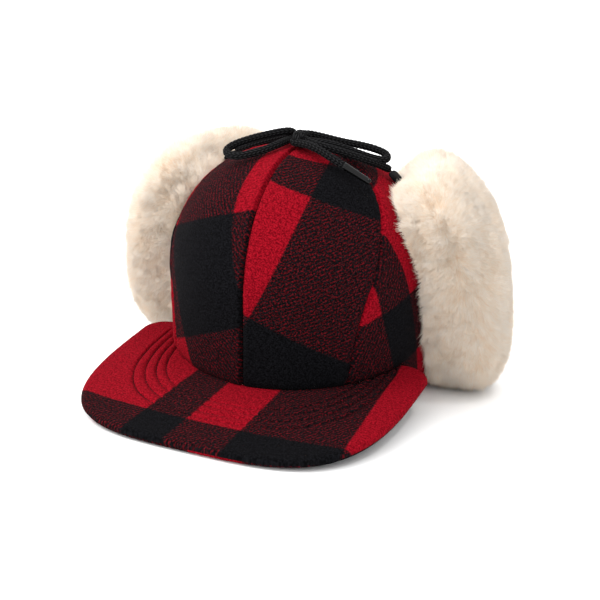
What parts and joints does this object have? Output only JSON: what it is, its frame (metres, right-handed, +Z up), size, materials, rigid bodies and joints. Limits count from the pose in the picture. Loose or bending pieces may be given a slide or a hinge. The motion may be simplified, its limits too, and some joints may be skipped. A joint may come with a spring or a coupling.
{
  "type": "trapper hat",
  "caption": "Plaid wool trapper hat with a stiff flat brim, shearling-lined ear flaps folded up and a tie cord in a bow on the crown.",
  "frame": {"origin": "centre of the head opening, on the surface the hat stands on", "axes": "+Z up through the crown, -Y forward over the brim, +X towards the hat's own left-hand side seen from the front as the viewer's right"},
  "size_m": [0.2578, 0.2731, 0.174],
  "materials": {
    "plaid_wool": "felted wool twill in a buffalo check of red, black and a red and black mixture",
    "shearling": "thick cream pile",
    "quilted_lining": "satin",
    "sweatband_felt": "matte",
    "buckram": "matte",
    "brim_board": "matte",
    "thread": "matte",
    "tab_wool": "matte",
    "black_cord": "braided, slight sheen",
    "aglet_plastic": "gloss"
  },
  "bodies": {
    "crown": {"back_panel_left": "plaid_wool", "back_panel_right": "plaid_wool", "brim_board": "brim_board", "brim_top_fabric": "plaid_wool", "brim_topstitching": "thread", "brim_under_fabric": "plaid_wool", "crown_lining": "quilted_lining", "front_panel_left": "plaid_wool", "front_panel_right": "plaid_wool", "front_stiffener": "buckram", "side_panel_left": "plaid_wool", "side_panel_right": "plaid_wool", "sweatband": "sweatband_felt"},
    "left_flap": {"flap_shell_left": "plaid_wool", "flap_shearling_left": "shearling", "cord_tab_left": "tab_wool"},
    "right_flap": {"flap_shell_right": "plaid_wool", "flap_shearling_right": "shearling", "cord_tab_right": "tab_wool"},
    "left_cord": {"tie_cord_left": "black_cord", "aglet_left": "aglet_plastic"},
    "right_cord": {"tie_cord_right": "black_cord", "aglet_right": "aglet_plastic", "bow_knot": "black_cord"}
  },
  "joints": [
    {"name": "right_flap_fold", "type": "hinge", "parent": "crown", "child": "right_flap", "pos_m": [0.0895, 0.012, 0], "axis": [0, 1, 0], "range_deg": [0, 170]},
    {"name": "left_flap_fold", "type": "hinge", "parent": "crown", "child": "left_flap", "pos_m": [-0.0895, 0.012, 0], "axis": [0, -1, 0], "range_deg": [0, 170]},
    {"name": "right_cord_swing", "type": "hinge", "parent": "right_flap", "child": "right_cord", "pos_m": [0.0576, -0.01, 0.1432], "axis": [0, 1, 0], "range_deg": [0, 60]},
    {"name": "left_cord_swing", "type": "hinge", "parent": "left_flap", "child": "left_cord", "pos_m": [-0.0576, -0.01, 0.1432], "axis": [0, -1, 0], "range_deg": [0, 60]}
  ],
  "couplings": [
    {"joint": "right_cord_swing", "follows": "right_flap_fold", "ratio": 0.35},
    {"joint": "left_cord_swing", "follows": "left_flap_fold", "ratio": 0.35}
  ]
}
